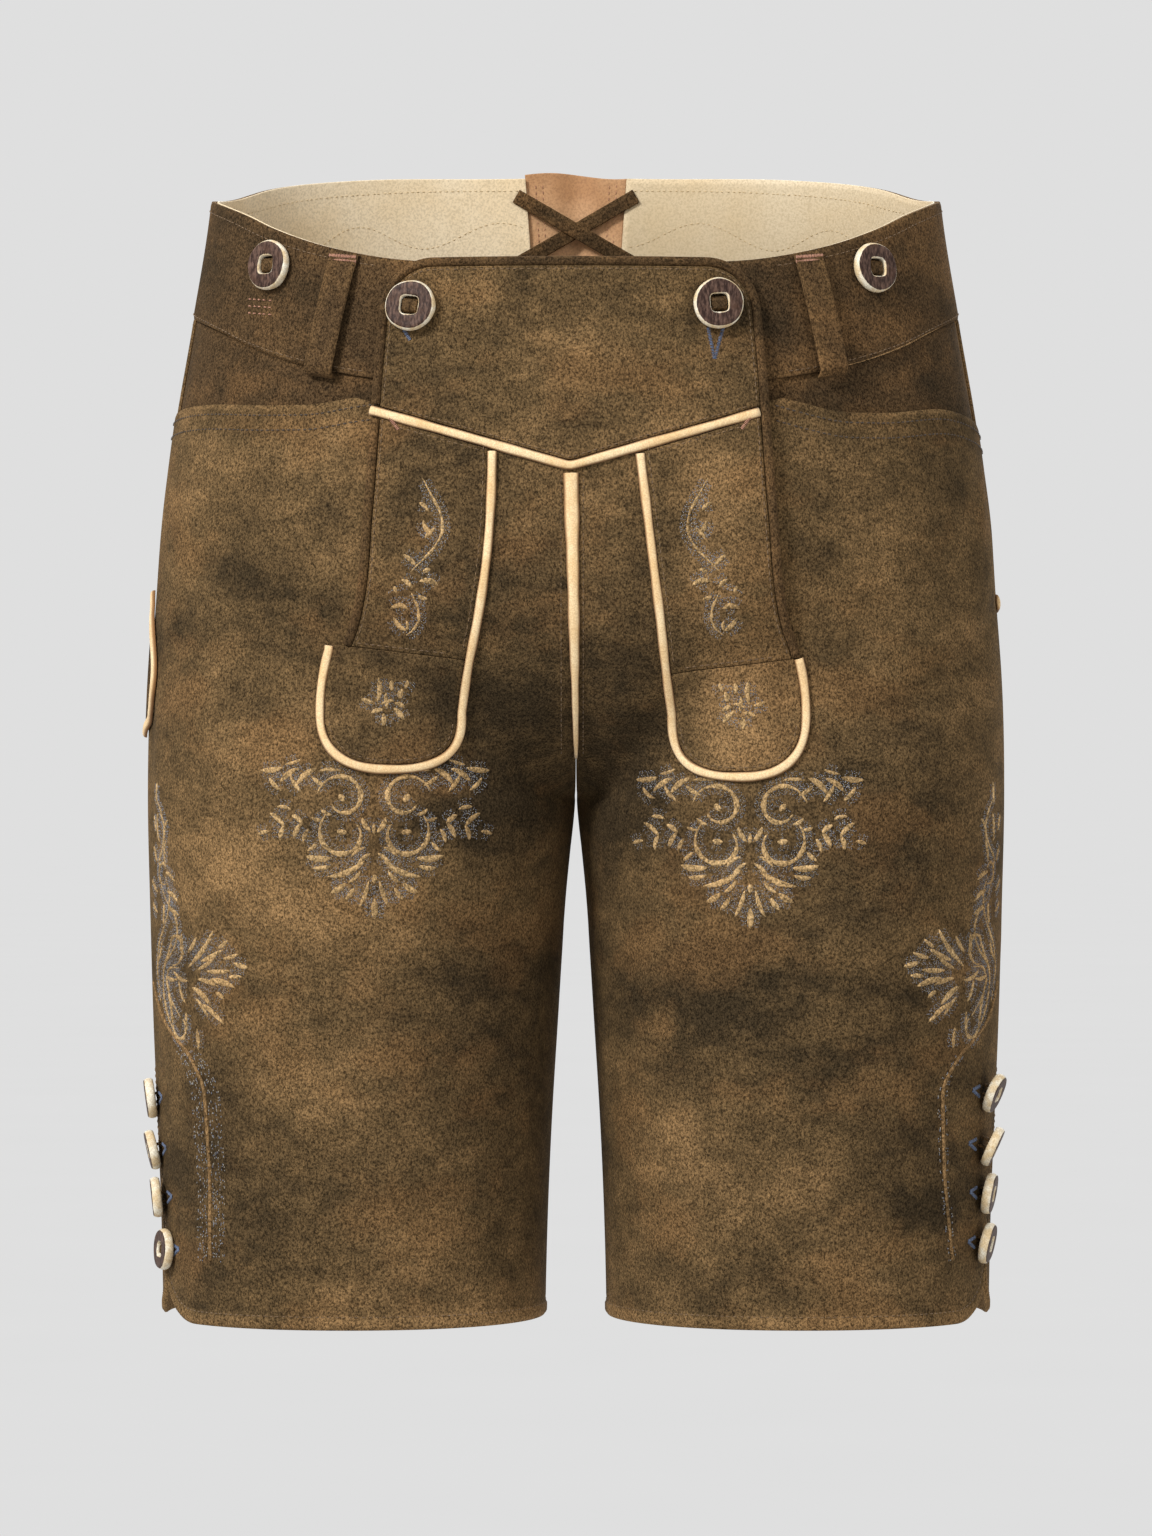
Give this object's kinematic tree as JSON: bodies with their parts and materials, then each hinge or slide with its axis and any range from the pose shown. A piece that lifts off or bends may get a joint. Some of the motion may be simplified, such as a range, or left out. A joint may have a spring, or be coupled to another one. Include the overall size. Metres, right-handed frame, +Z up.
{
  "type": "lederhosen",
  "caption": "Short suede leather trousers with a buttoned drop-front flap, welted seams, laced back and buttoned side slits, in their worn, hollow form.",
  "frame": {"origin": "middle of the waist opening, halfway up the waistband at the sides, where the wearer's waist holds the garment", "axes": "+Z up, the garment's front faces -Y, the wearer's left is +X"},
  "size_m": [0.4214, 0.2702, 0.5694],
  "materials": {
    "outer_suede": "worn brown suede, mottled, raised nap",
    "dark_suede": "dark brown suede with rubbed edges",
    "piping_leather": "smooth tan-cream welt leather",
    "lining_leather": "smooth ivory lining leather",
    "gusset_leather": "soft pinkish tan leather",
    "horn": "streaked dark horn with a cream rim"
  },
  "bodies": {
    "root": {"back_gusset": "gusset_leather", "back_pocket_welt": "piping_leather", "belt_loop_back_left": "dark_suede", "belt_loop_back_right": "dark_suede", "belt_loop_front_left": "dark_suede", "belt_loop_front_right": "dark_suede", "brace_button_back_left": "horn", "brace_button_back_right": "horn", "brace_button_front_left": "horn", "brace_button_front_right": "horn", "brace_thong_back_left": "dark_suede", "brace_thong_back_right": "dark_suede", "brace_thong_front_left": "dark_suede", "brace_thong_front_right": "dark_suede", "centre_welt": "piping_leather", "flap_button_left": "horn", "flap_button_right": "horn", "flap_edging": "dark_suede", "flap_strip_left": "outer_suede", "flap_strip_right": "outer_suede", "flap_thong_left": "dark_suede", "flap_thong_right": "dark_suede", "front_flap": "outer_suede", "hip_facing_left": "dark_suede", "hip_facing_right": "dark_suede", "knife_pocket": "dark_suede", "knife_pocket_welt": "piping_leather", "lace_inside_over": "dark_suede", "lace_inside_under": "dark_suede", "lace_outside_low": "dark_suede", "lace_outside_top": "dark_suede", "leg_back_left": "outer_suede", "leg_back_right": "outer_suede", "leg_button_left_1": "horn", "leg_button_left_2": "horn", "leg_button_left_3": "horn", "leg_button_left_4": "horn", "leg_button_right_1": "horn", "leg_button_right_2": "horn", "leg_button_right_3": "horn", "leg_button_right_4": "horn", "leg_front_left": "outer_suede", "leg_front_right": "outer_suede", "point_welt": "piping_leather", "slit_underlap_left": "dark_suede", "slit_underlap_right": "dark_suede", "strip_edging_right": "dark_suede", "strip_foot_left": "outer_suede", "strip_foot_right": "outer_suede", "strip_welt_left": "piping_leather", "strip_welt_right": "piping_leather", "waist_lining_left": "lining_leather", "waist_lining_right": "lining_leather", "waistband_left": "dark_suede", "waistband_right": "dark_suede"}
  },
  "joints": []
}
